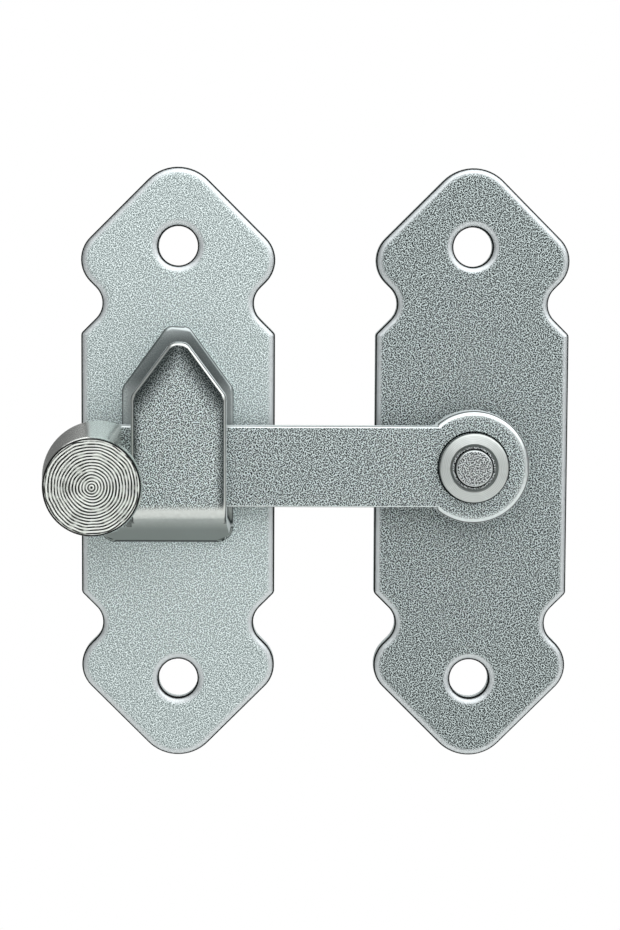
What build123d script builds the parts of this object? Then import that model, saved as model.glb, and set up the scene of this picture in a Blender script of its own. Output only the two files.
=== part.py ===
"""Gate latch: two screw plates, a hooked catch, and a swinging bar with a turned knob.

Frame: the origin is where the pivot axis meets the mounting plane. +X runs to the right
as the latch is seen, +Y into the wall and +Z up. The bar lies shut along -X.
All sizes are in millimetres.
"""

import math
import os

from build123d import *

# Screw plates: two of the same outline, side by side
plate_height = 90.6
plate_width = 29.65
plate_thickness = 2.5
plate_pitch = 45.0
apex_radius = 6.5
lobe_radius = 4.8
notch_depth = 3.25
notch_radius = 3.3
shoulder_radius = 0.9
plate_edge_roll = 1.0
screw_hole_diameter = 6.0
screw_inset = 12.0
hole_edge_chamfer = 0.6

# Bar and its place in front of the plates
bar_height = 12.3
bar_thickness = 3.0
bar_edge_roll = 0.35
bar_eye_diameter = 17.2
bar_neck_radius = 2.5
eye_edge_roll = 1.0
bar_end_margin = 3.65

# Catch: base pad, shelf under the bar, and the tongue in front of it
catch_base_width = 17.0
catch_base_thickness = 1.5
catch_base_eave = 11.7
catch_base_apex = 21.1
catch_apex_flat = 3.4
catch_base_corner = 2.5
catch_roof_corner = 1.6
catch_base_chamfer = 0.4
tongue_width = 14.4
tongue_shift = 0.35
tongue_thickness = 2.5
tongue_eave = 10.8
tongue_apex = 18.9
tongue_apex_flat = 2.4
tongue_apex_radius = 1.7
tongue_eave_radius = 2.0
tongue_edge_roll = 0.7
tongue_bend_radius = 4.0
slot_corner_radius = 0.3
shelf_root_depth = 5.75
shelf_toe_depth = 0.55
shelf_left_reach = 3.5
shelf_to_knob = 0.5
bar_to_base = 0.45
bar_to_tongue = 0.35
bar_to_shelf = 0.05
tenon_width = 6.0
tenon_height = 3.0
tenon_flare = 0.9
upper_tenon_height = 8.0
lower_tenon_height = -9.0

# Pivot: riveted pin, spacer behind the bar, countersunk washer in front of it
pin_diameter = 5.0
pin_tail_flare = 1.5
pin_end_diameter = 5.6
pin_end_proud = 0.4
pin_end_roll = 0.2
pin_collar_drop = 0.4
spacer_diameter = 12.0
washer_diameter = 10.6
washer_thickness = 1.6
washer_sink_diameter = 7.4
washer_edge_roll = 0.35
washer_fall = 0.25
pivot_clearance = 0.08
axial_play = 0.05

# Knob: stem through the bar, tapered head with a flat beside the tongue, ring grooves turned in its face
knob_drop = 1.65
knob_stem_diameter = 5.0
knob_tail_flare = 0.8
knob_back_diameter = 17.2
knob_face_diameter = 14.4
knob_head_length = 16.6
knob_flat_reach = 3.45
knob_to_tongue = 0.35
knob_cap = 1.6
knob_back_roll = 0.5
knob_face_roll = 0.3
ring_pitch = 0.45
ring_depth = 0.12
ring_rim = 0.35

# Fits of riveted pieces
rivet_clearance = 0.03
rivet_recess = 0.15

# Places worked out from the sizes above, as distances in front of the mounting plane
plate_front = plate_thickness
base_front = plate_front + catch_base_thickness
bar_back = base_front + bar_to_base
bar_front = bar_back + bar_thickness
tongue_back = bar_front + bar_to_tongue
tongue_front = tongue_back + tongue_thickness
knob_face = bar_front + knob_head_length
washer_back = bar_front + axial_play
washer_front = washer_back + washer_thickness

# Places across the latch; the knob's flat swings clear of the tongue's left eave
catch_x = -plate_pitch
tongue_left = catch_x + tongue_shift - tongue_width / 2
knob_flat = -math.hypot(tongue_left, tongue_eave) - knob_to_tongue
knob_x = knob_flat - knob_flat_reach
shelf_top = -bar_height / 2 - bar_to_shelf
shelf_root = shelf_top - shelf_root_depth
shelf_toe = shelf_top - shelf_toe_depth
shelf_left = catch_base_width / 2 + shelf_left_reach
screw_height = plate_height / 2 - screw_inset

# Shares of a radius: how far a round cuts into a square corner, and the two flat steps of a rolled edge
corner_cut = math.sqrt(2) - 1
roll_inset = 1 - math.tan(math.radians(15))
roll_drop = roll_inset * math.tan(math.radians(30))
roll_step = roll_inset - roll_drop
tenon_spread_angle = 45
same_place = 1e-6


def in_front(distance):
    """Return a sketch plane, seen from the front, at a distance from the mounting plane."""
    return Plane.XZ.offset(distance)


def rounded(shape, points, radius):
    """Round the corners of a sketch that stand at the given points."""
    corners = [
        vertex
        for vertex in shape.vertices()
        if any(math.dist((vertex.X, vertex.Y), point) < same_place for point in points)
    ]
    return fillet(corners, radius)


def polygon(points):
    """Make a flat face with straight sides through the points."""
    return Sketch() + make_face(Polyline(*points, close=True))


def turned(points):
    """Turn a closed profile of (radius, distance from the wall) about the Y axis."""
    profile = make_face(Polyline(*[(radius, -distance) for radius, distance in points], close=True))
    return revolve(profile, Axis.Y)


def bored(diameter, near, far):
    """Make a round cutter on the Y axis between two distances from the wall."""
    return extrude(in_front(near) * Circle(diameter / 2), far - near)


def riveted_hole(diameter, flare, depth):
    """Make the cutter for a rivet's hole: a bore, countersunk at the wall side."""
    bore = diameter / 2 + rivet_clearance
    return turned([(0, 0), (bore + flare, 0), (bore, flare), (bore, depth), (0, depth)])


def front_face(solid):
    """Return the face of a solid that stands furthest from the wall."""
    return solid.faces().sort_by(Axis.Y)[0]


def rolled(front, edges, radius):
    """Soften edges of a front face in two flat steps that follow a round of the radius."""
    level = front.center().Y + radius * roll_drop
    solid = chamfer(edges, radius * roll_inset, radius * roll_drop, reference=front)
    lower = solid.edges().filter_by_position(Axis.Y, level - same_place, level + same_place)
    return chamfer(lower, radius * roll_step)


def soft_rim(radius, front, roll):
    """List the points of a turned piece's front edge, softened in the same two steps."""
    long = roll * roll_inset
    short = roll - long
    return [(radius, front - long), (radius - short, front - short), (radius - long, front)]


def plate_outline():
    """Draw a plate's outline: pointed lobes, round notches and straight sides."""
    side = plate_width / 2
    apex = plate_height / 2 + apex_radius * corner_cut
    lobe_x = side + lobe_radius * corner_cut
    lobe_y = apex - lobe_x
    notch_x = side - notch_depth - notch_radius * corner_cut
    notch_y = lobe_y - (lobe_x - notch_x)
    shoulder_y = notch_y - (side - notch_x)
    quarter = [(lobe_x, lobe_y), (notch_x, notch_y), (side, shoulder_y)]
    right = quarter + [(x, -y) for x, y in reversed(quarter)]
    left = [(-x, -y) for x, y in right]
    shape = polygon([(0, apex)] + right + [(0, -apex)] + left)
    radii = [lobe_radius, notch_radius, shoulder_radius]
    shape = rounded(shape, [(0, apex), (0, -apex)], apex_radius)
    for (x, y), radius in zip(quarter, radii):
        shape = rounded(shape, [(x, y), (x, -y), (-x, y), (-x, -y)], radius)
    return shape


def screw_plate():
    """Make one stamped plate about the origin, with its two screw holes and rolled edges."""
    blank = extrude(in_front(0) * plate_outline(), plate_thickness)
    hole = bored(screw_hole_diameter, 0, plate_thickness)
    blank = blank - [Pos(0, 0, z) * hole for z in (-screw_height, screw_height)]
    rims = [edge for wire in front_face(blank).inner_wires() for edge in wire.edges()]
    blank = chamfer(rims, hole_edge_chamfer)
    front = front_face(blank)
    return rolled(front, front.outer_wire().edges(), plate_edge_roll)


def keeper_plate():
    """Make the left plate, with holes for the catch's tenons."""
    cutter = tenon(rivet_clearance, 0)
    holes = [Pos(0, 0, z) * cutter for z in (upper_tenon_height, lower_tenon_height)]
    return Pos(catch_x, 0, 0) * (screw_plate() - holes)


def pivot_plate():
    """Make the right plate, with the hole for the pivot pin."""
    return screw_plate() - riveted_hole(pin_diameter, pin_tail_flare, plate_thickness)


def house(half_width, eave, apex, half_flat, floor):
    """List the corners of a house-shaped outline, from its right eave round to its foot."""
    roof = [(half_width, eave), (half_flat, apex), (-half_flat, apex), (-half_width, eave)]
    return roof + [(-half_width, floor), (half_width, floor)]


def catch_base_outline():
    """Draw the base pad: a house with a flat ridge and a foot that runs out to the left."""
    half = catch_base_width / 2
    points = house(half, catch_base_eave, catch_base_apex, catch_apex_flat / 2, shelf_root)
    roof = points[:4]
    foot = [(-half, shelf_top), (-shelf_left, shelf_top), (-shelf_left, shelf_root), (half, shelf_root)]
    shape = polygon(roof + foot)
    shape = rounded(shape, roof, catch_roof_corner)
    return rounded(shape, foot[2:], catch_base_corner)


def catch_base():
    """Make the base pad with a softened front edge."""
    pad = extrude(in_front(plate_front) * catch_base_outline(), catch_base_thickness)
    return chamfer(front_face(pad).outer_wire().edges(), catch_base_chamfer)


def underside(distance):
    """Return the height of the shelf's sloping underside at a distance from the wall."""
    start = shelf_root + catch_base_chamfer
    share = (distance - base_front) / (tongue_front - base_front)
    return start + (shelf_toe - start) * share


def catch_shelf():
    """Make the wedge under the bar, drafted at its right end and cut back behind the knob at its left."""
    wedge = polygon(
        [
            (-plate_front, underside(base_front)),
            (-plate_front, shelf_top),
            (-tongue_back, shelf_top),
            (-tongue_back, underside(tongue_back)),
            (-base_front, underside(base_front)),
        ]
    )
    right = catch_base_width / 2 - catch_base_chamfer
    block = Pos(-shelf_left, 0, 0) * extrude(Plane.YZ * wedge, shelf_left + right)
    knob_room = polygon(
        [
            (-shelf_left, shelf_to_knob - bar_front),
            (tongue_shift - tongue_width / 2, shelf_to_knob - bar_front),
            (tongue_shift - tongue_width / 2, -tongue_back),
            (-shelf_left, -tongue_back),
        ]
    )
    draft = polygon(
        [
            (right, -base_front),
            (right, -tongue_back),
            (tongue_shift + tongue_width / 2, -tongue_back),
        ]
    )
    cuts = Plane.XY.offset(shelf_root) * (knob_room + draft)
    block = block - extrude(cuts, shelf_top - shelf_root)
    face = offset(catch_base_outline(), amount=-catch_base_chamfer)
    return block & extrude(in_front(plate_front) * face, tongue_back - plate_front)


def tongue_outline():
    """Draw the tongue from the front: a narrower house with a rounded ridge."""
    half = tongue_width / 2
    points = house(half, tongue_eave, tongue_apex, tongue_apex_flat / 2, shelf_root)
    shape = rounded(polygon(points), points[1:3], tongue_apex_radius)
    return Pos(tongue_shift, 0) * rounded(shape, [points[0], points[3]], tongue_eave_radius)


def catch_tongue():
    """Make the tongue and the bend at its foot, with the front edges rolled."""
    hook = polygon(
        [
            (-plate_front, underside(base_front)),
            (-plate_front, shelf_top),
            (-tongue_back, shelf_top),
            (-tongue_back, tongue_apex),
            (-tongue_front, tongue_apex),
            (-tongue_front, shelf_toe),
            (-base_front, underside(base_front)),
        ]
    )
    hook = rounded(hook, [(-tongue_front, shelf_toe)], tongue_bend_radius)
    hook = rounded(hook, [(-tongue_back, shelf_top)], slot_corner_radius)
    strip = Pos(tongue_shift - tongue_width / 2, 0, 0) * extrude(Plane.YZ * hook, tongue_width)
    tongue = strip & extrude(in_front(plate_front) * tongue_outline(), tongue_front - plate_front)
    front = front_face(tongue)
    return rolled(front, front.outer_wire().edges().sort_by(Axis.Z)[1:], tongue_edge_roll)


def tenon(clearance, start):
    """Make a flat tenon from a distance off the wall to the plate's front, spread at its wall end.

    With a clearance it is the cutter for the tenon's hole.
    """
    neck = (tenon_width + 2 * clearance, tenon_height + 2 * clearance)
    spread = 2 * (tenon_flare - start)
    foot = in_front(start) * Rectangle(neck[0] + spread, neck[1] + spread)
    post = extrude(in_front(tenon_flare) * Rectangle(*neck), plate_front - tenon_flare)
    return post + extrude(foot, tenon_flare - start, taper=tenon_spread_angle)


def catch():
    """Join the base pad, shelf, tongue and tenons into the one cast catch."""
    tenons = [Pos(0, 0, z) * tenon(0, rivet_recess) for z in (upper_tenon_height, lower_tenon_height)]
    return Pos(catch_x, 0, 0) * (catch_base() + catch_shelf() + catch_tongue() + tenons)


def pivot_pin():
    """Turn the pivot pin: tail spread in the plate, collar spread in the washer's countersink."""
    radius = pin_diameter / 2
    end = pin_end_diameter / 2
    collar = washer_sink_diameter / 2 - pin_collar_drop - rivet_clearance
    ledge = washer_front - pin_collar_drop
    tip = washer_front + pin_end_proud
    return turned(
        [
            (0, rivet_recess),
            (radius + pin_tail_flare - rivet_recess, rivet_recess),
            (radius, pin_tail_flare),
            (radius, ledge - (collar - radius)),
            (collar, ledge),
            (end, ledge),
            (end, tip - pin_end_roll),
            (end - pin_end_roll, tip),
            (0, tip),
        ]
    )


def spacer_washer():
    """Make the plain washer that holds the bar off the plate."""
    bore = pin_diameter + 2 * rivet_clearance
    back, front = plate_front, bar_back - axial_play
    return bored(spacer_diameter, back, front) - bored(bore, back, front)


def retaining_washer():
    """Turn the front washer: a countersink, a face that falls outwards and a softened rim."""
    bore = pin_diameter / 2 + rivet_clearance
    sink = washer_sink_diameter / 2
    outer = washer_diameter / 2
    hole = [(sink, washer_front), (bore, washer_front - (sink - bore)), (bore, washer_back)]
    rim = soft_rim(outer, washer_front - washer_fall, washer_edge_roll)
    return turned(hole + [(outer, washer_back)] + rim)


def bar_strip():
    """Make the bar's flat strip, from its round end at the knob to its neck and the disc in the eye."""
    half = bar_height / 2
    end = knob_x - bar_end_margin
    disc = bar_eye_diameter / 2 - eye_edge_roll
    neck = -math.sqrt(disc**2 - half**2)
    outline = Pos(end / 2, 0) * Rectangle(-end, bar_height) + Circle(disc)
    outline = rounded(outline, [(end, half), (end, -half)], half - rivet_clearance)
    outline = rounded(outline, [(neck, half), (neck, -half)], bar_neck_radius)
    strip = extrude(in_front(bar_back) * outline, bar_thickness)
    front = front_face(strip)
    return rolled(front, front.outer_wire().edges(), bar_edge_roll)


def bar_eye():
    """Turn the bar's round eye at the pivot, with a wider rolled edge than the strip's."""
    radius = bar_eye_diameter / 2
    rim = soft_rim(radius, bar_front, eye_edge_roll)
    return turned([(0, bar_front), (0, bar_back), (radius, bar_back)] + rim)


def latch_bar():
    """Make the bar with its pivot bore and the countersunk hole for the knob's tail."""
    blank = bar_strip() + bar_eye()
    bore = bored(pin_diameter + 2 * pivot_clearance, bar_back, bar_front)
    tail = riveted_hole(knob_stem_diameter, knob_tail_flare, bar_thickness)
    return blank - bore - Pos(knob_x, -bar_back, -knob_drop) * tail


def knob_rings():
    """List the points of the ring grooves across the knob's face, from its rim to its centre."""
    outer = knob_face_diameter / 2 - knob_face_roll - ring_rim
    count = int(outer / ring_pitch)
    points = []
    for ring in range(count):
        crest = outer - ring * ring_pitch
        points.append((crest, knob_face))
        points.append((crest - ring_pitch / 2, knob_face - ring_depth))
    return points + [(outer - count * ring_pitch, knob_face), (0, knob_face)]


def knob():
    """Turn the knob: spread tail, tapered head and ring-grooved face, with a flat behind its cap."""
    stem = knob_stem_diameter / 2
    back = knob_back_diameter / 2
    face = knob_face_diameter / 2
    tail = [
        (0, bar_back + rivet_recess),
        (stem + knob_tail_flare - rivet_recess, bar_back + rivet_recess),
        (stem, bar_back + knob_tail_flare),
        (stem, bar_front),
    ]
    head = [
        (back - knob_back_roll, bar_front),
        (back, bar_front + knob_back_roll),
        (face, knob_face - knob_face_roll),
        (face - knob_face_roll, knob_face),
    ]
    blank = turned(tail + head + knob_rings())
    beside = Pos(knob_flat_reach + back / 2, 0) * Rectangle(back, knob_back_diameter)
    relief = extrude(in_front(bar_front) * beside, knob_head_length - knob_cap)
    return Pos(knob_x, 0, -knob_drop) * (blank - relief)


NODES = {
    "keeper_plate": keeper_plate,
    "catch": catch,
    "pivot_plate": pivot_plate,
    "pivot_pin": pivot_pin,
    "spacer_washer": spacer_washer,
    "retaining_washer": retaining_washer,
    "latch_bar": latch_bar,
    "knob": knob,
}


def main():
    """Build every piece and write it to its own file."""
    os.makedirs("parts", exist_ok=True)
    for name, make in NODES.items():
        export_step(make(), f"parts/{name}.step")


if __name__ == "__main__":
    main()
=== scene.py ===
"""Gate latch in satin zinc: two stamped plates, a cast catch and a swinging bar with a turned knob.

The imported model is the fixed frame. Each piece here stands for one of its nodes and keeps its form:
stamped and cast pieces are welded copies with soft shading over their rolled edges, and turned pieces
are spun again from their profiles. Sizes are in millimetres; meshes are in metres.
"""

import logging
import math
from dataclasses import dataclass
from enum import Enum

import bmesh
import bpy
from mathutils import Matrix, Vector

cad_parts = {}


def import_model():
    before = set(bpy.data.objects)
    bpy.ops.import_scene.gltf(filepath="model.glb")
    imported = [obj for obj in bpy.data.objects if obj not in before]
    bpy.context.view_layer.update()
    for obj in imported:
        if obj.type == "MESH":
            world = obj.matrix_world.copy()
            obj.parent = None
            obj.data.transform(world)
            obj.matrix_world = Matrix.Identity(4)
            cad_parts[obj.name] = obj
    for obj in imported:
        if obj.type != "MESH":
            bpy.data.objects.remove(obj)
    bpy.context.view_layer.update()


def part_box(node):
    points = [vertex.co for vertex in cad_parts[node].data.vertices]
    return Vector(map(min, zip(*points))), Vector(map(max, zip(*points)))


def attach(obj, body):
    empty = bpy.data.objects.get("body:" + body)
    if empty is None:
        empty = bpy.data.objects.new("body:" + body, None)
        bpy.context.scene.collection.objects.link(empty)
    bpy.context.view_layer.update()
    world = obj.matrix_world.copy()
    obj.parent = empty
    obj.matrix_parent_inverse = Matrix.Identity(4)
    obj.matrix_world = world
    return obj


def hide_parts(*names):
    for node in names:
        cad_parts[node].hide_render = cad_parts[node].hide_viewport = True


MM = 0.001
log = logging.getLogger("gate_latch")

Profile = list[tuple[float, float]]
Node = bpy.types.Node
Socket = bpy.types.NodeSocket
Tree = bpy.types.NodeTree
Shape = bmesh.types.BMesh

# Settings that many nodes share, and the numbers of a mix node's colour sockets
COLOURS = {"data_type": "RGBA"}
SMOOTH = {"interpolation_type": "SMOOTHSTEP"}
TIMES = {"operation": "MULTIPLY"}
TIMES_PLUS = {"operation": "MULTIPLY_ADD"}
MINUS = {"operation": "SUBTRACT"}
UNSIGNED = {"operation": "ABSOLUTE"}
LARGER = {"operation": "MAXIMUM"}
SMALLER = {"operation": "MINIMUM"}
FACTOR, COLOUR_A, COLOUR_B, MIXED = 0, 6, 7, 2


class Body(Enum):
    """The two bodies of the latch: what is screwed down, and what swings."""

    PLATES = "plates"
    BAR = "bar"


class Slot(Enum):
    """The finishes that the record lists for the latch."""

    SATIN_PLATE = "satin_plate"
    SHADED_PLATE = "satin_plate_shaded"
    CAST_CATCH = "cast_catch"
    SATIN_BAR = "satin_bar"
    WASHER = "washer"
    RIVET = "rivet"
    TURNED_KNOB = "turned_knob"


def to_linear(hex_colour: str) -> tuple[float, float, float, float]:
    """Turn an sRGB hex colour into a linear colour with full alpha.

    Args:
        hex_colour: Six hex digits with a leading hash sign.

    Returns:
        Red, green, blue and alpha, from 0 to 1.
    """
    channels = [int(hex_colour[i : i + 2], 16) / 255 for i in (1, 3, 5)]
    linear = [c / 12.92 if c <= 0.04045 else ((c + 0.055) / 1.055) ** 2.4 for c in channels]
    return (*linear, 1.0)


def add_node(
    tree: Tree,
    kind: str,
    settings: dict[str, object] | None = None,
    values: dict[str | int, object] | None = None,
    links: dict[str | int, Socket] | None = None,
) -> Node:
    """Add one node to a tree, with its settings, socket values and links.

    Args:
        tree: The node tree of a material or world.
        kind: The node's type name, without the ShaderNode that they all begin with.
        settings: Attributes of the node itself.
        values: Constants for its input sockets, by name or number.
        links: Output sockets that feed its input sockets, by name or number.

    Returns:
        The new node.
    """
    node = tree.nodes.new(f"ShaderNode{kind}")
    for name, value in (settings or {}).items():
        setattr(node, name, value)
    for socket, value in (values or {}).items():
        node.inputs[socket].default_value = value
    for socket, source in (links or {}).items():
        tree.links.new(source, node.inputs[socket])
    return node


def distance_from_axis(tree: Tree, place: Node, axis_mm: tuple[float, float] = (0.0, 0.0)) -> Socket:
    """Measure how far a point is from an axis that runs from the wall to the front.

    Args:
        tree: The material's node tree.
        place: Its texture coordinates.
        axis_mm: Where the axis stands, across and up; the pivot's own if none is given.

    Returns:
        The socket with the distance, in metres.
    """
    across, up = axis_mm
    centred = add_node(
        tree, "Mapping",
        values={"Location": (-across * MM, 0, -up * MM), "Scale": (1, 0, 1)},
        links={"Vector": place.outputs["Object"]},
    )
    distance = add_node(tree, "VectorMath", {"operation": "LENGTH"}, links={0: centred.outputs["Vector"]})
    return distance.outputs["Value"]


@dataclass(frozen=True)
class BlastedZinc:
    """Zinc-plated steel, finely blasted before plating.

    Flat faces carry a stipple of pits that glint and shade. Rolled edges were burnished by the tool
    and stay smooth and bright. The sheared walls behind them are dull, with a line of painted shade above
    them.

    The torn, line and burnish limits say how squarely a surface faces the front or the wall: 0 is a
    sheared wall and 1 is a flat face.
    """

    name: str
    crest: str
    pit: str
    smooth: str
    wall: str = "#C0C8C8"
    # The line of painted shade that outlines the edges
    shade_line: str = "#121515"
    # Pits are drawn about six times their real width, so that they show at picture size
    grit_mm: float = 0.235
    grit_scatter: float = 0.75
    grit_turn_rad: float = 0.45
    # How far from a pit's middle its floor ends and its crest begins, in widths of a pit
    pit_end: float = 0.29
    crest_start: float = 0.51
    relief_mm: float = 0.03
    roughness: float = 0.62
    smooth_roughness: float = 0.32
    wall_roughness: float = 0.75
    face_specular: float = 0.5
    torn_from: float = 0.2
    torn_to: float = 0.36
    line_from: float = 0.59
    line_to: float = 0.78
    burnish_from: float = 0.98
    burnish_to: float = 0.9985
    cloud_mm: float = 0.6
    cloud_share: float = 0.25

    def material(self) -> bpy.types.Material:
        """Make the finish as a material on object coordinates.

        Returns:
            The new material.
        """
        material = bpy.data.materials.new(self.name)
        material.use_nodes = True
        tree = material.node_tree
        shader = tree.nodes["Principled BSDF"]
        place = add_node(tree, "TexCoord")
        # The blast came from the front, so the pits are laid out flat, with their rows turned aslant
        laid = add_node(
            tree, "Mapping",
            values={"Rotation": (math.pi / 2, 0, self.grit_turn_rad)},
            links={"Vector": place.outputs["Object"]},
        )
        pits = add_node(
            tree, "TexVoronoi", {"voronoi_dimensions": "2D"},
            values={"Scale": 1 / (self.grit_mm * MM), "Randomness": self.grit_scatter},
            links={"Vector": laid.outputs["Vector"]},
        )
        spread = add_node(
            tree, "MapRange",
            values={"From Min": self.pit_end, "From Max": self.crest_start},
            links={"Value": pits.outputs["Distance"]},
        )
        stipple = add_node(
            tree, "Mix", COLOURS,
            values={COLOUR_A: to_linear(self.pit), COLOUR_B: to_linear(self.crest)},
            links={FACTOR: self.lit(tree, place, spread.outputs["Result"])},
        )
        facing = self.facing(tree, place)
        blasted = self.blasted(tree, place, facing)
        face = add_node(
            tree, "Mix", COLOURS,
            links={
                FACTOR: blasted,
                COLOUR_A: self.burnished(tree, place),
                COLOUR_B: stipple.outputs[MIXED],
            },
        )
        # The line of painted shade where the roll meets the sheared wall
        torn = add_node(
            tree, "MapRange",
            values={"From Min": self.torn_from, "From Max": self.torn_to}, links={"Value": facing},
        )
        edge = add_node(
            tree, "Mix", COLOURS,
            values={COLOUR_A: to_linear(self.wall), COLOUR_B: to_linear(self.shade_line)},
            links={FACTOR: torn.outputs["Result"]},
        )
        above_line = add_node(
            tree, "MapRange", SMOOTH,
            values={"From Min": self.line_from, "From Max": self.line_to}, links={"Value": facing},
        ).outputs["Result"]
        colour = add_node(
            tree, "Mix", COLOURS,
            links={FACTOR: above_line, COLOUR_A: edge.outputs[MIXED], COLOUR_B: face.outputs[MIXED]},
        )
        satin = add_node(
            tree, "MapRange",
            values={"To Min": self.smooth_roughness, "To Max": self.roughness}, links={"Value": blasted},
        )
        gloss = add_node(
            tree, "MapRange",
            values={"To Min": self.wall_roughness},
            links={"Value": above_line, "To Max": satin.outputs["Result"]},
        )
        relief = add_node(tree, "Math", TIMES, links={0: pits.outputs["Distance"], 1: blasted})
        bump = add_node(
            tree, "Bump",
            values={"Strength": 1.0, "Distance": self.relief_mm * MM},
            links={"Height": relief.outputs["Value"]},
        )
        shine = add_node(tree, "Math", TIMES, values={1: self.face_specular}, links={0: above_line})
        tree.links.new(above_line, shader.inputs["Metallic"])
        tree.links.new(shine.outputs["Value"], shader.inputs["Specular IOR Level"])
        tree.links.new(colour.outputs[MIXED], shader.inputs["Base Color"])
        tree.links.new(gloss.outputs["Result"], shader.inputs["Roughness"])
        tree.links.new(bump.outputs["Normal"], shader.inputs["Normal"])
        return material

    def facing(self, tree: Tree, place: Node) -> Socket:
        """Measure how squarely a surface faces the front or the wall.

        Args:
            tree: The material's node tree.
            place: Its texture coordinates.

        Returns:
            The socket with the measure, from 0 to 1.
        """
        parts = add_node(tree, "SeparateXYZ", links={0: place.outputs["Normal"]})
        size = add_node(tree, "Math", UNSIGNED, links={0: parts.outputs["Y"]})
        return size.outputs["Value"]

    def blasted(self, tree: Tree, place: Node, facing: Socket) -> Socket:
        """Find where the blasting reached.

        Args:
            tree: The material's node tree.
            place: Its texture coordinates.
            facing: How squarely the surface faces the front or the wall.

        Returns:
            The socket with the mask, from 0 on rolled edges to 1 on flat faces.
        """
        flat = add_node(
            tree, "MapRange", SMOOTH,
            values={"From Min": self.burnish_from, "From Max": self.burnish_to}, links={"Value": facing},
        )
        return flat.outputs["Result"]

    def lit(self, tree: Tree, place: Node, spread: Socket) -> Socket:
        """Return how brightly each pit or crest shows; plates show them alike all over."""
        return spread

    def burnished(self, tree: Tree, place: Node) -> Socket:
        """Colour the rolled edges, with the faint grain of the plating.

        Args:
            tree: The material's node tree.
            place: Its texture coordinates.

        Returns:
            The socket with the colour.
        """
        cloud = add_node(
            tree, "TexNoise",
            values={"Scale": 1 / (self.cloud_mm * MM), "Detail": 3.0},
            links={"Vector": place.outputs["Object"]},
        )
        colour = add_node(
            tree, "Mix", COLOURS | {"blend_type": "MULTIPLY"},
            values={FACTOR: self.cloud_share, COLOUR_A: to_linear(self.smooth)},
            links={COLOUR_B: cloud.outputs["Fac"]},
        )
        return colour.outputs[MIXED]


@dataclass(frozen=True)
class PivotedZinc(BlastedZinc):
    """Blasted zinc of the bar and the pin, with a thin ring of painted shade in a round corner about the
    pivot.

    The press that formed the bar's eye left a wide soft roll round it, which the drum burnished.
    """

    corner_mm: float = 5.36
    # Width of the ring of painted shade in the corner
    corner_shade_mm: float = 0.2
    eye_from_mm: float = 7.2
    eye_to_mm: float = 8.5
    neck_from_mm: float = -5.0
    neck_to_mm: float = -2.0

    def blasted(self, tree: Tree, place: Node, facing: Socket) -> Socket:
        """Find where the blasting reached: flat faces, and less towards the rim of the eye.

        Args:
            tree: The material's node tree.
            place: Its texture coordinates.
            facing: How squarely the surface faces the front or the wall.

        Returns:
            The socket with the mask, from 0 to 1.
        """
        flat = super().blasted(tree, place, facing)
        parts = add_node(tree, "SeparateXYZ", links={0: place.outputs["Object"]})
        past_neck = add_node(
            tree, "MapRange", SMOOTH,
            values={"From Min": self.neck_from_mm * MM, "From Max": self.neck_to_mm * MM},
            links={"Value": parts.outputs["X"]},
        )
        rolled = add_node(
            tree, "MapRange", SMOOTH,
            values={"From Min": self.eye_from_mm * MM, "From Max": self.eye_to_mm * MM},
            links={"Value": distance_from_axis(tree, place), "To Max": past_neck.outputs["Result"]},
        )
        left = add_node(
            tree, "Math", MINUS | {"use_clamp": True}, links={0: flat, 1: rolled.outputs["Result"]}
        )
        return left.outputs["Value"]

    def lit(self, tree: Tree, place: Node, spread: Socket) -> Socket:
        """Find how brightly each pit or crest shows, darkened by painted shade in the corner round the
        pivot.

        Args:
            tree: The material's node tree.
            place: Its texture coordinates.
            spread: The pits and crests themselves, from 0 to 1.

        Returns:
            The socket with the brightness, from 0 to 1.
        """
        # A thin ring of painted shade, where the corner about the pivot holds shade
        offset = add_node(
            tree, "Math", MINUS,
            values={1: self.corner_mm * MM}, links={0: distance_from_axis(tree, place)},
        )
        away = add_node(tree, "Math", UNSIGNED, links={0: offset.outputs["Value"]})
        out_of_shade = add_node(
            tree, "MapRange",
            values={"From Min": self.corner_shade_mm / 2 * MM, "From Max": self.corner_shade_mm * MM},
            links={"Value": away.outputs["Value"]},
        )
        corner_shaded = add_node(tree, "Math", TIMES, links={0: spread, 1: out_of_shade.outputs["Result"]})
        return corner_shaded.outputs["Value"]


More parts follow.
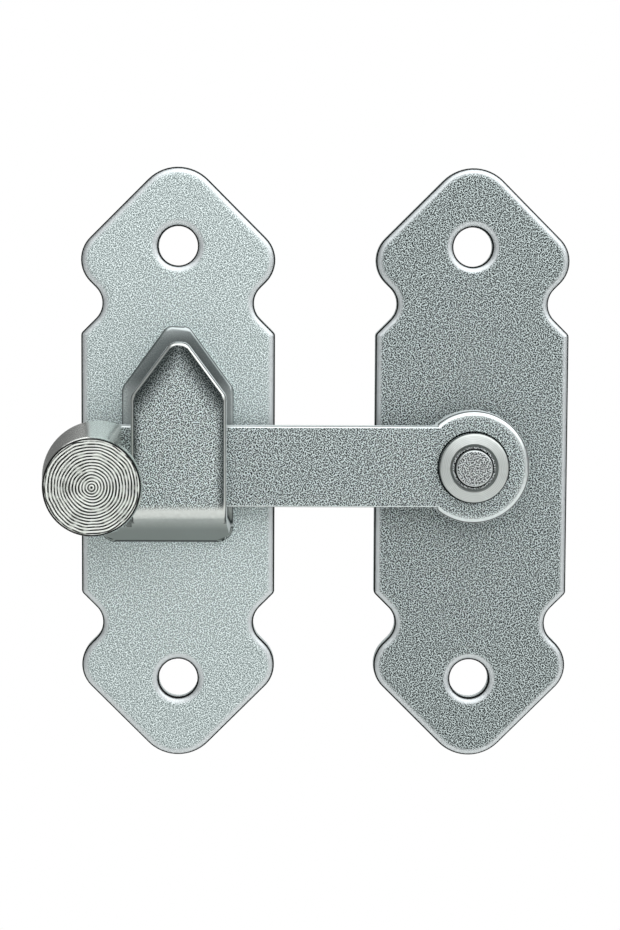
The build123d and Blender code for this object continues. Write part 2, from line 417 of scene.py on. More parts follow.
@dataclass(frozen=True)
class CastZinc(BlastedZinc):
    """Cast zinc for the catch: a dull base pad, a burnished bend and a blasted tongue.

    Painted shade darkens the tongue's face beside its edges, and the base pad round the tongue.
    """

    base: str = "#B6BEBE"
    # Painted shade on the pad's shoulders and on the shelf below the bend
    shaded_shoulder: str = "#7C8484"
    shelf_shade: str = "#9CA3A0"
    shelf_from_mm: float = -5.0
    shelf_to_mm: float = -7.0
    shoulder_mm: float = 16.0
    shoulder_half_mm: float = 2.5
    shoulder_fade_mm: float = 3.0
    base_grain: float = 0.35
    base_front_mm: float = 4.0
    bend_from_mm: float = 6.0
    bend_to_mm: float = 9.0
    tongue_front_mm: float = 10.3
    tongue_middle_mm: float = -44.65
    tongue_half_mm: float = 7.2
    eave_mm: float = 10.8
    roof_run_mm: float = 6.0
    roof_rise_mm: float = 8.1
    edge_from_mm: float = 0.6
    edge_to_mm: float = 4.0
    edge_shade: float = 0.12
    side_gain: float = 2.2

    def blasted(self, tree: Tree, place: Node, facing: Socket) -> Socket:
        """Find where the blasting reached: the tongue's face, and the base pad a little.

        Args:
            tree: The material's node tree.
            place: Its texture coordinates.
            facing: How squarely the surface faces the front or the wall.

        Returns:
            The socket with the mask, from 0 to 1.
        """
        flat = super().blasted(tree, place, facing)
        parts = add_node(tree, "SeparateXYZ", links={0: place.outputs["Object"]})
        proud = add_node(
            tree, "MapRange",
            values={
                "From Min": -self.base_front_mm * MM,
                "From Max": -self.tongue_front_mm * MM,
                "To Min": self.base_grain,
            },
            links={"Value": parts.outputs["Y"]},
        )
        both = add_node(tree, "Math", TIMES, links={0: flat, 1: proud.outputs["Result"]})
        return both.outputs["Value"]

    def lit(self, tree: Tree, place: Node, spread: Socket) -> Socket:
        """Find how brightly each pit or crest shows, darkened by painted shade beside the tongue's edges.

        Args:
            tree: The material's node tree.
            place: Its texture coordinates.
            spread: The pits and crests themselves, from 0 to 1.

        Returns:
            The socket with the brightness, from 0 to 1.
        """
        centred = add_node(
            tree, "Mapping",
            values={"Location": (-self.tongue_middle_mm * MM, 0, 0)},
            links={"Vector": place.outputs["Object"]},
        )
        parts = add_node(tree, "SeparateXYZ", links={0: centred.outputs["Vector"]})
        aside = add_node(tree, "Math", UNSIGNED, links={0: parts.outputs["X"]})
        from_side = add_node(
            tree, "Math", MINUS, values={0: self.tongue_half_mm * MM}, links={1: aside.outputs["Value"]}
        ).outputs["Value"]
        # Distance in from the roof's slope: a share of the way in from the side and down from the eave
        slope = math.hypot(self.roof_run_mm, self.roof_rise_mm)
        below_eave = add_node(
            tree, "Math", TIMES_PLUS,
            values={1: -self.roof_run_mm / slope, 2: self.eave_mm * MM * self.roof_run_mm / slope},
            links={0: parts.outputs["Z"]},
        )
        from_roof = add_node(
            tree, "Math", TIMES_PLUS,
            values={1: self.roof_rise_mm / slope}, links={0: from_side, 2: below_eave.outputs["Value"]},
        )
        # The painted shade is narrower along the sides than below the roof
        side_narrowed = add_node(tree, "Math", TIMES, values={1: self.side_gain}, links={0: from_side})
        nearest = add_node(
            tree, "Math", SMALLER, links={0: side_narrowed.outputs["Value"], 1: from_roof.outputs["Value"]}
        )
        # Taken both ways, so that the painted shade also darkens the base pad round the tongue
        apart = add_node(tree, "Math", UNSIGNED, links={0: nearest.outputs["Value"]})
        clear = add_node(
            tree, "MapRange", SMOOTH,
            values={
                "From Min": self.edge_from_mm * MM,
                "From Max": self.edge_to_mm * MM,
                "To Min": self.edge_shade,
            },
            links={"Value": apart.outputs["Value"]},
        )
        shaded = add_node(tree, "Math", TIMES, links={0: spread, 1: clear.outputs["Result"]})
        return shaded.outputs["Value"]

    def burnished(self, tree: Tree, place: Node) -> Socket:
        """Colour the smooth parts: dull on the base pad, bright on the bend, with painted shade on the
        pad's shoulders and on the shelf.

        Args:
            tree: The material's node tree.
            place: Its texture coordinates.

        Returns:
            The socket with the colour.
        """
        bright = super().burnished(tree, place)
        parts = add_node(tree, "SeparateXYZ", links={0: place.outputs["Object"]})
        raised = add_node(
            tree, "MapRange", SMOOTH,
            values={"From Min": -self.bend_from_mm * MM, "From Max": -self.bend_to_mm * MM},
            links={"Value": parts.outputs["Y"]},
        )
        # Painted shade: the pad's two shoulders are darker than its sides and top
        off_shoulder = add_node(
            tree, "Math", MINUS, values={1: self.shoulder_mm * MM}, links={0: parts.outputs["Z"]}
        )
        apart = add_node(tree, "Math", UNSIGNED, links={0: off_shoulder.outputs["Value"]})
        clear = add_node(
            tree, "MapRange", SMOOTH,
            values={
                "From Min": self.shoulder_half_mm * MM,
                "From Max": (self.shoulder_half_mm + self.shoulder_fade_mm) * MM,
            },
            links={"Value": apart.outputs["Value"]},
        )
        pad = add_node(
            tree, "Mix", COLOURS,
            values={COLOUR_A: to_linear(self.shaded_shoulder), COLOUR_B: to_linear(self.base)},
            links={FACTOR: clear.outputs["Result"]},
        )
        # Painted shade on the shelf below the bend, under its overhang
        below = add_node(
            tree, "MapRange",
            values={"From Min": self.shelf_from_mm * MM, "From Max": self.shelf_to_mm * MM},
            links={"Value": parts.outputs["Z"]},
        )
        dull = add_node(
            tree, "Mix", COLOURS,
            values={COLOUR_B: to_linear(self.shelf_shade)},
            links={FACTOR: below.outputs["Result"], COLOUR_A: pad.outputs[MIXED]},
        )
        colour = add_node(
            tree, "Mix", COLOURS,
            links={FACTOR: raised.outputs["Result"], COLOUR_A: dull.outputs[MIXED], COLOUR_B: bright},
        )
        return colour.outputs[MIXED]


@dataclass(frozen=True)
class TurnedZinc:
    """Zinc-plated steel straight from the lathe.

    Its front carries rings from the tool: bright lands with grooves between them that painted shade
    darkens, a little uneven where the tool chattered. Its flank is smooth.
    """

    name: str
    land: str
    dull: str
    # Painted shade in the ring grooves
    groove_shade: str
    # Painted shade round the rolled rim, which outlines the piece
    shade_line: str = "#1C1E1D"
    axis_mm: tuple[float, float] = (0.0, 0.0)
    rim_mm: float = 5.19
    rim_fade_mm: float = 0.03
    outer_ring_mm: float = 5.0
    pitch_mm: float = 0.25
    ring_strength: float = 0.3
    waver_mm: float = 0.6
    waver_length_mm: float = 3.0
    chatter_mm: float = 1.1
    roughness: float = 0.3
    flank_roughness: float = 0.2
    # How far a surface is turned to the front: 0 is the flank and -1 is the face
    roll_from: float = -0.2
    roll_to: float = -0.35
    face_from: float = -0.5
    face_to: float = -0.7
    # Where a groove's side begins and ends: 0 is the middle of a land, half a ring that of a groove
    half_ring: float = 0.5
    groove_from: float = 0.2
    groove_to: float = 0.33
    # The levels of chatter between which a groove is worn, and what is then left of it
    worn_below: float = 0.32
    whole_above: float = 0.5
    worn_share: float = 0.35

    def material(self) -> bpy.types.Material:
        """Make the finish as a material on object coordinates.

        Returns:
            The new material.
        """
        material = bpy.data.materials.new(self.name)
        material.use_nodes = True
        tree = material.node_tree
        shader = tree.nodes["Principled BSDF"]
        place = add_node(tree, "TexCoord")
        chatter = add_node(
            tree, "TexNoise",
            values={"Scale": 1 / (self.chatter_mm * MM), "Detail": 2.0},
            links={"Vector": place.outputs["Object"]},
        ).outputs["Fac"]
        dulled = add_node(
            tree, "Mix", COLOURS,
            values={COLOUR_A: to_linear(self.dull), COLOUR_B: to_linear(self.land)},
            links={FACTOR: chatter},
        )
        ringed = add_node(
            tree, "Mix", COLOURS,
            values={COLOUR_B: to_linear(self.groove_shade)},
            links={FACTOR: self.grooves(tree, place, chatter), COLOUR_A: dulled.outputs[MIXED]},
        )
        colour = add_node(
            tree, "Mix", COLOURS,
            values={COLOUR_B: to_linear(self.shade_line)},
            links={FACTOR: self.rim(tree, place), COLOUR_A: ringed.outputs[MIXED]},
        )
        gloss = add_node(
            tree, "MapRange",
            values={"To Min": self.flank_roughness, "To Max": self.roughness},
            links={"Value": self.turned_to_front(tree, place, self.face_from, self.face_to)},
        )
        shader.inputs["Metallic"].default_value = 1.0
        tree.links.new(colour.outputs[MIXED], shader.inputs["Base Color"])
        tree.links.new(gloss.outputs["Result"], shader.inputs["Roughness"])
        return material

    def turned_to_front(self, tree: Tree, place: Node, start: float, end: float) -> Socket:
        """Find where the surface is turned to the front.

        Args:
            tree: The material's node tree.
            place: Its texture coordinates.
            start: How far it is turned where the mask begins.
            end: How far it is turned where the mask is full.

        Returns:
            The socket with the mask, from 0 to 1.
        """
        parts = add_node(tree, "SeparateXYZ", links={0: place.outputs["Normal"]})
        front = add_node(
            tree, "MapRange",
            values={"From Min": start, "From Max": end}, links={"Value": parts.outputs["Y"]},
        )
        return front.outputs["Result"]

    def rim(self, tree: Tree, place: Node) -> Socket:
        """Find the line of painted shade on the rolled rim, between the flank and the face.

        Args:
            tree: The material's node tree.
            place: Its texture coordinates.

        Returns:
            The socket with the mask, from 0 to 1.
        """
        off_flank = self.turned_to_front(tree, place, self.roll_from, self.roll_to)
        outside = add_node(
            tree, "MapRange",
            values={"From Min": self.rim_mm * MM, "From Max": (self.rim_mm + self.rim_fade_mm) * MM},
            links={"Value": distance_from_axis(tree, place, self.axis_mm)},
        )
        both = add_node(tree, "Math", TIMES, links={0: off_flank, 1: outside.outputs["Result"]})
        return both.outputs["Value"]

    def grooves(self, tree: Tree, place: Node, chatter: Socket) -> Socket:
        """Find the ring grooves on the front, which painted shade darkens.

        Args:
            tree: The material's node tree.
            place: Its texture coordinates.
            chatter: The noise that makes the rings uneven.

        Returns:
            The socket with the mask, from 0 on a land to 1 in a groove.
        """
        waver = add_node(
            tree, "TexNoise",
            values={"Scale": 1 / (self.waver_length_mm * MM), "Detail": 1.0},
            links={"Vector": place.outputs["Object"]},
        )
        wavering = add_node(
            tree, "Math", TIMES_PLUS,
            values={1: self.waver_mm * MM},
            links={0: waver.outputs["Fac"], 2: distance_from_axis(tree, place, self.axis_mm)},
        )
        # Counted inwards from the outer ring, so that a groove is drawn where one is cut
        first = (self.outer_ring_mm + self.waver_mm / 2) / self.pitch_mm
        rings = add_node(
            tree, "Math", TIMES_PLUS,
            values={1: -1 / (self.pitch_mm * MM), 2: first}, links={0: wavering.outputs["Value"]},
        )
        across = add_node(
            tree, "Math", {"operation": "PINGPONG"},
            values={1: self.half_ring}, links={0: rings.outputs["Value"]},
        )
        deep = add_node(
            tree, "MapRange", SMOOTH,
            values={"From Min": self.groove_from, "From Max": self.groove_to},
            links={"Value": across.outputs["Value"]},
        )
        worn = add_node(
            tree, "MapRange",
            values={
                "From Min": self.worn_below,
                "From Max": self.whole_above,
                "To Min": self.ring_strength * self.worn_share,
                "To Max": self.ring_strength,
            },
            links={"Value": chatter},
        )
        cut = add_node(tree, "Math", TIMES, links={0: deep.outputs["Result"], 1: worn.outputs["Result"]})
        front = self.turned_to_front(tree, place, self.face_from, self.face_to)
        mask = add_node(tree, "Math", TIMES, links={0: cut.outputs["Value"], 1: front})
        return mask.outputs["Value"]


# Blasted zinc on the left plate, from a fine blast: pale, with a low, even stipple
SATIN_PLATE = BlastedZinc(
    "blasted_zinc_plate",
    crest="#DEE8E8",
    pit="#869292",
    smooth="#D8DEE0",
    smooth_roughness=0.5,
    burnish_from=0.955,
)
# The same metal on the right plate, with darker crests and pits as painted shade: the plate drawn as if it
# lay in less light
SHADED_PLATE = BlastedZinc(
    "blasted_zinc_plate_painted_shade",
    crest="#C4CFCF",
    pit="#040808",
    smooth="#D6DCDE",
    smooth_roughness=0.5,
    burnish_from=0.955,
)
# Blasted zinc on flat bar, with bright rolled edges and a ring of painted shade round the front washer
SATIN_BAR = PivotedZinc(
    "blasted_zinc_bar", crest="#CCD7D7", pit="#080C0C", smooth="#E2EAEA", line_from=0.45, line_to=0.72
)
# Blasted zinc on a casting: broad soft edges with a softer line of painted shade, and painted shade beside
# the tongue and on the pad
CAST_CATCH = CastZinc(
    "blasted_zinc_catch",
    crest="#D6E1E1",
    pit="#182020",
    smooth="#DADFDC",
    shade_line="#343A3A",
    line_from=0.42,
    line_to=0.7,
    burnish_from=0.88,
    burnish_to=0.998,
)
# Blasted zinc on the rivet's set end: grey, with a ring of painted shade round it
RIVET = PivotedZinc(
    "blasted_zinc_rivet",
    crest="#CED4D4",
    pit="#040606",
    smooth="#C4CACA",
    # Walls darker than the plates': painted shade that outlines the pin's end
    wall="#6A7070",
    corner_mm=2.88,
    corner_shade_mm=0.15,
)
# Bright zinc on turned washers: a clear soft shine with faint tool rings, drawn as painted shade in their
# grooves
WASHER = TurnedZinc(
    "bright_zinc_washer", land="#D2D7D5", dull="#B4BAB8", groove_shade="#848A88", roughness=0.45
)


@dataclass
class Assembly:
    """Pieces that belong together, with the ways that they are shaped and set in the frame."""

    crease_deg: float = 50.0
    weld_mm: float = 0.002
    dish_mm: float = 0.8
    hole_dish_mm: float = 0.35
    hole_rim_mm: float = 3.3
    hole_spacing_mm: float = 66.6
    # The inner side of a hole's band lies between these two, beyond the rim and within the band
    rim_slack: float = 1.05
    band_slack: float = 1.1
    # How far a rolled corner's middle point is cut back, as a share of the roll
    roll_share: float = 0.3
    spin_steps: int = 144

    def formed(self, node: str) -> Shape:
        """Copy a stamped or cast node's own form, with its loose triangles welded.

        Args:
            node: The node to copy.

        Returns:
            The welded shape.
        """
        shape = bmesh.new()
        shape.from_mesh(bpy.data.objects[node].data)
        bmesh.ops.remove_doubles(shape, verts=shape.verts, dist=self.weld_mm * MM)
        return shape

    def dish(self, shape: Shape, middle_mm: float) -> None:
        """Add a band along the edges of a plate's front, so that the roll's soft shading runs in.

        Args:
            shape: The stamped plate, which is changed.
            middle_mm: Where the plate's upright middle line stands, across.
        """
        front = min(v.co.y for v in shape.verts)
        flat = [f for f in shape.faces if all(v.co.y - front < self.weld_mm * MM for v in f.verts)]
        band = bmesh.ops.inset_region(
            shape, faces=flat, thickness=self.dish_mm * MM, use_even_offset=True
        )["faces"]
        shape.normal_update()
        inner = {v for f in flat for v in f.verts}
        # At a corner tighter than the band is wide, the band's inner side folds, so it is drawn to a point
        folded = [f for f in band if f.normal.y > 0]
        creased = {e for f in folded for e in f.edges if all(v in inner for v in e.verts)}
        bmesh.ops.collapse(shape, edges=list(creased))
        # Round a screw hole the punch rolled a narrower band
        near = self.hole_rim_mm * MM * self.rim_slack
        reach = (self.hole_rim_mm + self.dish_mm * self.band_slack) * MM
        for side in (-1, 1):
            hole = Vector((middle_mm, 0, side * self.hole_spacing_mm / 2)) * MM
            for vert in shape.verts:
                out = Vector((vert.co.x - hole.x, 0, vert.co.z - hole.z))
                if vert.co.y - front < self.weld_mm * MM and near < out.length < reach:
                    vert.co += out.normalized() * (self.hole_rim_mm + self.hole_dish_mm) * MM - out

    def turned(self, profile: Profile, axis_mm: tuple[float, float], closed: bool) -> Shape:
        """Spin a profile about an axis that runs from the wall to the front.

        Args:
            profile: Points of (radius, distance from the wall), in order along the profile.
            axis_mm: Where the axis stands, across and up.
            closed: Whether the profile goes round a hole, so that its ends meet.

        Returns:
            The turned shape.
        """
        shape = bmesh.new()
        across, up = axis_mm
        points = [shape.verts.new(Vector((across + r, -d, up)) * MM) for r, d in profile]
        pairs = list(zip(points, points[1:]))
        if closed:
            pairs.append((points[-1], points[0]))
        edges = [shape.edges.new(pair) for pair in pairs]
        bmesh.ops.spin(
            shape,
            geom=points + edges,
            cent=Vector((across, 0, up)) * MM,
            axis=(0, 1, 0),
            angle=2 * math.pi,
            steps=self.spin_steps,
            use_merge=True,
        )
        bmesh.ops.remove_doubles(shape, verts=shape.verts, dist=self.weld_mm * MM)
        bmesh.ops.recalc_face_normals(shape, faces=shape.faces)
        return shape

    def set_in_frame(
        self,
        shape: Shape,
        node: str,
        body: Body,
        slot: Slot,
        finish: BlastedZinc | TurnedZinc,
        crease_deg: float | None = None,
        keep_flats: bool = True,
    ) -> None:
        """Make a shape the object that stands for a node, dress it and let it ride on its body.

        Args:
            shape: The piece's mesh, which is used up.
            node: The node that it stands for.
            body: The body that it rides on.
            slot: The record's finish; not used.
            finish: The finish itself.
            crease_deg: The largest turn that still looks round, if it isn't the usual one.
            keep_flats: Whether broad faces look flat right up to their edges.
        """
        limit = math.radians(crease_deg or self.crease_deg)
        for face in shape.faces:
            face.smooth = True
        for edge in shape.edges:
            on_wall = all(v.co.y > -self.weld_mm * MM for v in edge.verts)
            edge.smooth = not on_wall and edge.calc_face_angle(math.pi) < limit
        data = bpy.data.meshes.new(f"{node}_dressed")
        shape.to_mesh(data)
        shape.free()
        piece = bpy.data.objects.new(f"{node}_dressed", data)
        bpy.context.scene.collection.objects.link(piece)
        data.materials.append(finish.material())
        if keep_flats:
            weighted = piece.modifiers.new("soft_shading", "WEIGHTED_NORMAL")
            weighted.keep_sharp = True
        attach(piece, body.value)
        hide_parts(node)
        log.info("%s: %d faces, rides on %s", piece.name, len(data.polygons), body.value)


@dataclass
class KeeperSide(Assembly):
    """The left plate and the hooked catch that is staked to it."""

    plate_pitch_mm: float = 45.0

    def build(self) -> None:
        """Build the plate and the catch."""
        plate = self.formed("keeper_plate")
        self.dish(plate, -self.plate_pitch_mm)
        self.set_in_frame(
            plate, "keeper_plate", Body.PLATES, Slot.SATIN_PLATE, SATIN_PLATE, keep_flats=False
        )
        catch = self.formed("catch")
        self.set_in_frame(catch, "catch", Body.PLATES, Slot.CAST_CATCH, CAST_CATCH)


@dataclass
class PivotSide(Assembly):
    """The right plate with the riveted pin and its two washers."""

    pin_radius: float = 2.5
    pin_clearance: float = 0.03
    pin_end_radius: float = 2.8
    pin_end_roll: float = 0.2
    pin_tail_flare: float = 1.5
    pin_tail_recess: float = 0.15
    sink_radius: float = 3.7
    collar_drop: float = 0.4
    rim_roll: float = 0.35
    face_fall: float = 0.25
    flat_hold: float = 0.06
    round_crease_deg: float = 44.0

    def build(self) -> None:
        """Build the plate, the pin and the washers."""
        plate = self.formed("pivot_plate")
        self.dish(plate, 0.0)
        self.set_in_frame(
            plate, "pivot_plate", Body.PLATES, Slot.SHADED_PLATE, SHADED_PLATE, keep_flats=False
        )
        self.round_piece(self.pin(), "pivot_pin", Slot.RIVET, RIVET, False)
        self.round_piece(self.spacer(), "spacer_washer", Slot.WASHER, WASHER, True)
        self.round_piece(self.washer(), "retaining_washer", Slot.WASHER, WASHER, True)

    def round_piece(
        self, profile: Profile, node: str, slot: Slot, finish: BlastedZinc | TurnedZinc, closed: bool
    ) -> None:
        """Spin a profile about the pivot and set it in the frame as a node."""
        shape = self.turned(profile, (0.0, 0.0), closed)
        self.set_in_frame(shape, node, Body.PLATES, slot, finish, self.round_crease_deg)

    def pin(self) -> Profile:
        """Work out the pin's profile: spread tail, shank, collar in the countersink and flat end.

        Returns:
            The points of the profile, from the tail's middle to the end's.
        """
        tip = -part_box("pivot_pin")[0].y / MM
        ledge = -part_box("retaining_washer")[0].y / MM - self.collar_drop
        collar = self.sink_radius - self.collar_drop - self.pin_clearance
        roll_cut = self.pin_end_roll * self.roll_share
        return [
            (0, self.pin_tail_recess),
            (self.pin_radius + self.pin_tail_flare - self.pin_tail_recess, self.pin_tail_recess),
            (self.pin_radius, self.pin_tail_flare),
            (self.pin_radius, ledge - (collar - self.pin_radius)),
            (collar, ledge),
            (collar - self.flat_hold, ledge),
            (self.pin_end_radius, ledge),
            (self.pin_end_radius, tip - self.pin_end_roll),
            (self.pin_end_radius - roll_cut, tip - roll_cut),
            (self.pin_end_radius - self.pin_end_roll, tip),
            (self.pin_end_radius - self.pin_end_roll - self.flat_hold, tip),
            (self.flat_hold, tip),
            (0, tip),
        ]

    def spacer(self) -> Profile:
        """Work out the plain washer's profile, between the plate and the bar.

        Returns:
            The points of the profile, round from the bore's back.
        """
        low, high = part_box("spacer_washer")
        bore = self.pin_radius + self.pin_clearance
        outer = high.x / MM
        front, back = -low.y / MM, -high.y / MM
        return [(bore, back), (outer, back), (outer, front), (bore, front)]

    def washer(self) -> Profile:
        """Work out the front washer's profile: countersink, face that falls outwards and soft rim.

        Returns:
            The points of the profile, round from the countersink's edge.
        """
        low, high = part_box("retaining_washer")
        bore = self.pin_radius + self.pin_clearance
        outer = high.x / MM
        front, back = -low.y / MM, -high.y / MM
        rim = front - self.face_fall
        roll_cut = self.rim_roll * self.roll_share
        return [
            (self.sink_radius, front),
            (bore, front - (self.sink_radius - bore)),
            (bore, back),
            (outer, back),
            (outer, rim - self.rim_roll),
            (outer - roll_cut, rim - roll_cut),
            (outer - self.rim_roll, rim),
            (outer - self.rim_roll - self.flat_hold, rim + self.face_fall * self.flat_hold),
        ]


@dataclass
class SwingBar(Assembly):
    """The bar that drops into the catch, and the turned knob that lifts it."""

    knob_face_radius: float = 7.2
    knob_back_radius: float = 8.6
    knob_back_roll: float = 0.5
    knob_face_roll: float = 0.3
    knob_flat_reach: float = 3.45
    knob_cap: float = 1.6
    stem_radius: float = 2.5
    stem_tail_flare: float = 0.8
    stem_tail_recess: float = 0.15
    ring_rim: float = 0.35
    ring_pitch: float = 0.45
    ring_depth: float = 0.12
    ring_land: float = 0.45
    knob_crease_deg: float = 30.0
    same_place_mm: float = 0.001

    def build(self) -> None:
        """Build the bar and its knob."""
        bar = self.formed("latch_bar")
        self.set_in_frame(bar, "latch_bar", Body.BAR, Slot.SATIN_BAR, SATIN_BAR)
        knob = self.turned(self.knob_profile(), self.knob_axis(), False)
        self.cut_flat(knob)
        # Bright turned zinc: almost white lands between sharp grooves darkened by painted shade
        finish = TurnedZinc(
            "turned_zinc_knob",
            land="#FCFFFB",
            dull="#DEE3DD",
            groove_shade="#181A16",
            axis_mm=self.knob_axis(),
            rim_mm=self.knob_face_radius - self.knob_face_roll,
            outer_ring_mm=self.outer_ring(),
            pitch_mm=self.ring_pitch,
            ring_strength=0.97,
            roughness=0.5,
        )
        self.set_in_frame(knob, "knob", Body.BAR, Slot.TURNED_KNOB, finish, self.knob_crease_deg)

    def knob_axis(self) -> tuple[float, float]:
        """Return where the knob's axis stands, across and up, in millimetres."""
        low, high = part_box("knob")
        return low.x / MM + self.knob_back_radius, (low.z + high.z) / 2 / MM

    def knob_front(self) -> float:
        """Return how far the knob's face stands from the wall, in millimetres."""
        return -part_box("knob")[0].y / MM

    def knob_seat(self) -> float:
        """Return how far the bar's front, where the knob's head sits, is from the wall."""
        return -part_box("latch_bar")[0].y / MM

    def outer_ring(self) -> float:
        """Return the radius at which the face's ring grooves begin."""
        return self.knob_face_radius - self.knob_face_roll - self.ring_rim

    def knob_profile(self) -> Profile:
        """Work out the knob's profile: spread tail, stem, tapered head and ringed face.

        Returns:
            The points of the profile, from the tail's middle to the face's.
        """
        face, seat = self.knob_front(), self.knob_seat()
        tail = -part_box("knob")[1].y / MM
        cap = face - self.knob_cap
        taper = (self.knob_back_radius - self.knob_face_radius) / (face - seat)
        roll_cut = self.knob_face_roll * self.roll_share
        foot = [
            (0, tail),
            (self.stem_radius + self.stem_tail_flare - self.stem_tail_recess, tail),
            (self.stem_radius, tail + self.stem_tail_flare - self.stem_tail_recess),
            (self.stem_radius, seat),
        ]
        head = [
            (self.knob_back_radius - self.knob_back_roll, seat),
            (self.knob_back_radius, seat + self.knob_back_roll),
            (self.knob_back_radius - taper * (cap - seat), cap),
            (self.knob_face_radius, face - self.knob_face_roll),
            (self.knob_face_radius - roll_cut, face - roll_cut),
            (self.knob_face_radius - self.knob_face_roll, face),
        ]
        return foot + head + self.rings(face)

    def rings(self, face: float) -> Profile:
        """Work out the ring grooves from the face's rim to its centre: a land, then a round groove.

        Args:
            face: How far the face stands from the wall, in millimetres.

        Returns:
            The points of the grooves.
        """
        outer = self.outer_ring()
        wall = self.ring_pitch * (1 - self.ring_land) / 2
        points: Profile = []
        for ring in range(int(outer / self.ring_pitch)):
            middle = outer - ring * self.ring_pitch - self.ring_pitch / 2
            points += [(middle + wall, face), (middle, face - self.ring_depth), (middle - wall, face)]
        return points + [(0, face)]

    def cut_flat(self, knob: Shape) -> None:
        """Cut the flat beside the catch's tongue, from the knob's seat to the back of its cap.

        Args:
            knob: The turned knob, which is changed.
        """
        seat, cap = -self.knob_seat() * MM, -(self.knob_front() - self.knob_cap) * MM
        near = self.same_place_mm * MM
        flat_x = (self.knob_axis()[0] + self.knob_flat_reach) * MM
        head = [f for f in knob.faces if all(cap - near < v.co.y < seat + near for v in f.verts)]
        verts = {v for f in head for v in f.verts if v.co.y > cap + near}
        edges = {e for f in head for e in f.edges}
        bmesh.ops.bisect_plane(
            knob,
            geom=list(verts) + list(edges) + head,
            plane_co=(flat_x, 0, 0),
            plane_no=(1, 0, 0),
            clear_outer=True,
        )
        at_cap = [v for v in knob.verts if abs(v.co.y - cap) < near]
        ends = [v for v in at_cap if abs(v.co.x - flat_x) < near]
        chord = knob.edges.new(ends)
        open_edges = [e for e in knob.edges if e.is_boundary]
        lip = [e for e in open_edges if all(v in at_cap for v in e.verts)]
        side = [e for e in open_edges if all(abs(v.co.x - flat_x) < near for v in e.verts)]
        bmesh.ops.contextual_create(knob, geom=lip + [chord])
        bmesh.ops.contextual_create(knob, geom=side + [chord])
        bmesh.ops.recalc_face_normals(knob, faces=knob.faces)


@dataclass(frozen=True)
class Softbox:
    """A rectangular lamp with a diffusing front; a brightness of 1 is that of the backdrop."""

    name: str
    place_m: tuple[float, float, float]
    size_m: tuple[float, float]
    brightness: float

    def hang(self, aim_m: tuple[float, float, float]) -> None:
        """Hang the lamp so that it points at the latch.

        Args:
            aim_m: The point that it faces.
        """
        light = bpy.data.lights.new(self.name, "AREA")
        light.shape = "RECTANGLE"
        light.size, light.size_y = self.size_m
        light.energy = self.brightness * math.pi * self.size_m[0] * self.size_m[1]
        lamp = bpy.data.objects.new(self.name, light)
        lamp.location = self.place_m
        lamp.rotation_euler = (Vector(aim_m) - Vector(self.place_m)).to_track_quat("-Z", "Y").to_euler()
        bpy.context.scene.collection.objects.link(lamp)


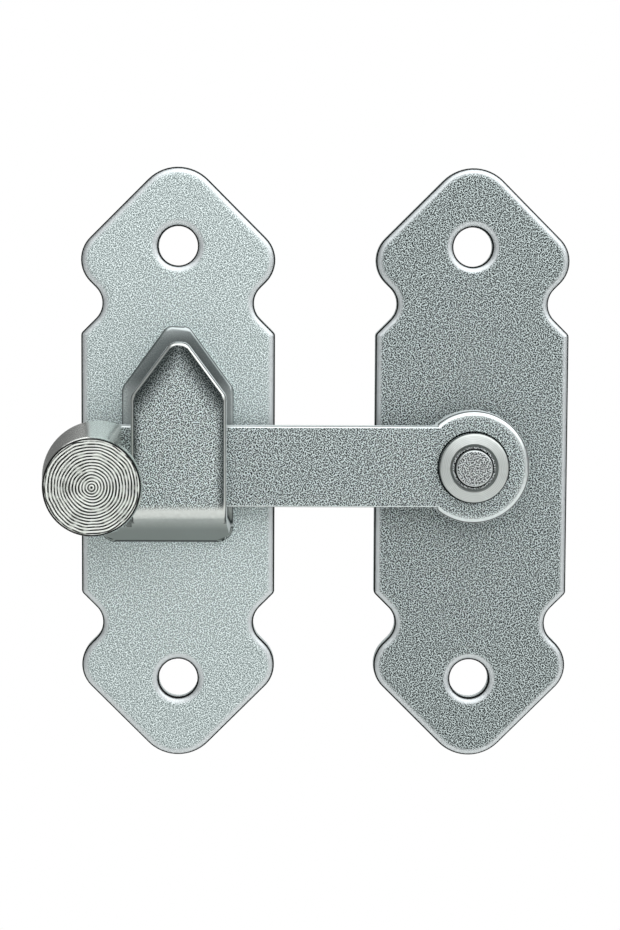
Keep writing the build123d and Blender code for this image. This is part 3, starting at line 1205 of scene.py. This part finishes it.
@dataclass
class Studio:
    """A plain pale floor below the latch, five softboxes, dark walls and a white backdrop.

    The backdrop is a white patch of the world, as wide and high as the photograph's frame.
    """

    pan_deg: float
    tilt_deg: float
    floor_drop_mm: float = 120.0
    floor_half_mm: float = 600.0
    floor_middle_mm: tuple[float, float] = (-22.0, -470.0)
    floor_colour: str = "#F0F0EE"
    wall_level: float = 0.16
    backdrop_level: float = 1.0
    backdrop_half_deg: tuple[float, float] = (7.6, 10.9)
    backdrop_fade: float = 1.25
    softboxes: tuple[Softbox, ...] = (
        Softbox("overhead_softbox", place_m=(0.15, -0.32, 0.52), size_m=(1.5, 0.95), brightness=2.1),
        Softbox("front_softbox", place_m=(0.0, -1.1, 0.2), size_m=(1.6, 1.0), brightness=0.28),
        Softbox("right_softbox", place_m=(0.75, -0.6, 0.1), size_m=(0.5, 0.8), brightness=0.6),
        Softbox("left_softbox", place_m=(-0.85, -0.45, 0.1), size_m=(0.5, 0.8), brightness=0.45),
        Softbox("rear_softbox", place_m=(0.0, 0.8, 0.7), size_m=(1.2, 0.7), brightness=1.4),
    )

    def build(self) -> None:
        """Set up the world, the floor and the lamps."""
        self.world()
        self.floor()
        for softbox in self.softboxes:
            softbox.hang((self.floor_middle_mm[0] * MM, 0.0, 0.0))

    def world(self) -> None:
        """Make a world of dark walls with the white backdrop behind the latch."""
        world = bpy.data.worlds.new("studio")
        world.use_nodes = True
        bpy.context.scene.world = world
        tree = world.node_tree
        place = add_node(tree, "TexCoord")
        # Turned so that the backdrop's middle lies straight along Y, and scaled to its half size
        wide, high = (math.sin(math.radians(a)) for a in self.backdrop_half_deg)
        level_view = add_node(
            tree, "Mapping",
            values={"Rotation": (math.radians(self.tilt_deg), 0, math.radians(self.pan_deg))},
            links={"Vector": place.outputs["Generated"]},
        )
        scaled = add_node(
            tree, "VectorMath", TIMES,
            values={1: (1 / wide, -1 / wide, 1 / high)}, links={0: level_view.outputs["Vector"]},
        )
        parts = add_node(tree, "SeparateXYZ", links={0: scaled.outputs["Vector"]})
        across = add_node(tree, "Math", UNSIGNED, links={0: parts.outputs["X"]})
        upward = add_node(tree, "Math", UNSIGNED, links={0: parts.outputs["Z"]})
        outside = add_node(
            tree, "Math", LARGER, links={0: across.outputs["Value"], 1: upward.outputs["Value"]}
        )
        behind = add_node(
            tree, "Math", LARGER, links={0: outside.outputs["Value"], 1: parts.outputs["Y"]}
        )
        level = add_node(
            tree, "MapRange", SMOOTH,
            values={
                "From Min": 1.0,
                "From Max": self.backdrop_fade,
                "To Min": self.backdrop_level,
                "To Max": self.wall_level,
            },
            links={"Value": behind.outputs["Value"]},
        )
        background = tree.nodes["Background"]
        background.inputs["Color"].default_value = to_linear("#FFFFFF")
        tree.links.new(level.outputs["Result"], background.inputs["Strength"])

    def floor(self) -> None:
        """Lay the floor below the latch."""
        shape = bmesh.new()
        bmesh.ops.create_grid(shape, x_segments=1, y_segments=1, size=self.floor_half_mm * MM)
        middle = Vector((*self.floor_middle_mm, -self.floor_drop_mm)) * MM
        bmesh.ops.translate(shape, verts=shape.verts, vec=middle)
        data = bpy.data.meshes.new("floor")
        shape.to_mesh(data)
        shape.free()
        floor = bpy.data.objects.new("floor", data)
        bpy.context.scene.collection.objects.link(floor)
        # Painted board: pale and even
        material = bpy.data.materials.new("pale_floor")
        material.use_nodes = True
        paint = material.node_tree.nodes["Principled BSDF"]
        paint.inputs["Base Color"].default_value = to_linear(self.floor_colour)
        data.materials.append(material)


@dataclass
class PhotoCamera:
    """The camera at the photograph's place: above the latch, nearly square to it and close by."""

    place_mm: tuple[float, float, float] = (-30.74, -392.15, 33.55)
    pan_deg: float = 0.88
    tilt_deg: float = 4.94
    roll_deg: float = 0.27
    lens_mm: float = 98.64
    sensor_mm: float = 36.0

    def ahead(self) -> Vector:
        """Return the direction that the camera looks in."""
        pan, tilt = math.radians(self.pan_deg), math.radians(self.tilt_deg)
        return Vector((math.sin(pan) * math.cos(tilt), math.cos(pan) * math.cos(tilt), -math.sin(tilt)))

    def build(self) -> None:
        """Place the camera and make it the scene's."""
        data = bpy.data.cameras.new("photo_camera")
        data.lens = self.lens_mm
        data.sensor_width = self.sensor_mm
        camera = bpy.data.objects.new("photo_camera", data)
        camera.location = Vector(self.place_mm) * MM
        turn = self.ahead().to_track_quat("-Z", "Y").to_matrix()
        roll = Matrix.Rotation(math.radians(self.roll_deg), 3, "Z")
        camera.rotation_euler = (turn @ roll).to_euler()
        bpy.context.scene.collection.objects.link(camera)
        bpy.context.scene.camera = camera


def main() -> None:
    """Load the frame, build every piece and light it."""
    logging.basicConfig(level=logging.INFO, format="%(message)s")
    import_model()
    for side in (KeeperSide(), PivotSide(), SwingBar()):
        side.build()
    camera = PhotoCamera()
    Studio(camera.pan_deg, camera.tilt_deg).build()
    camera.build()
    bpy.context.scene.view_settings.view_transform = "Standard"


if __name__ == "__main__":
    main()
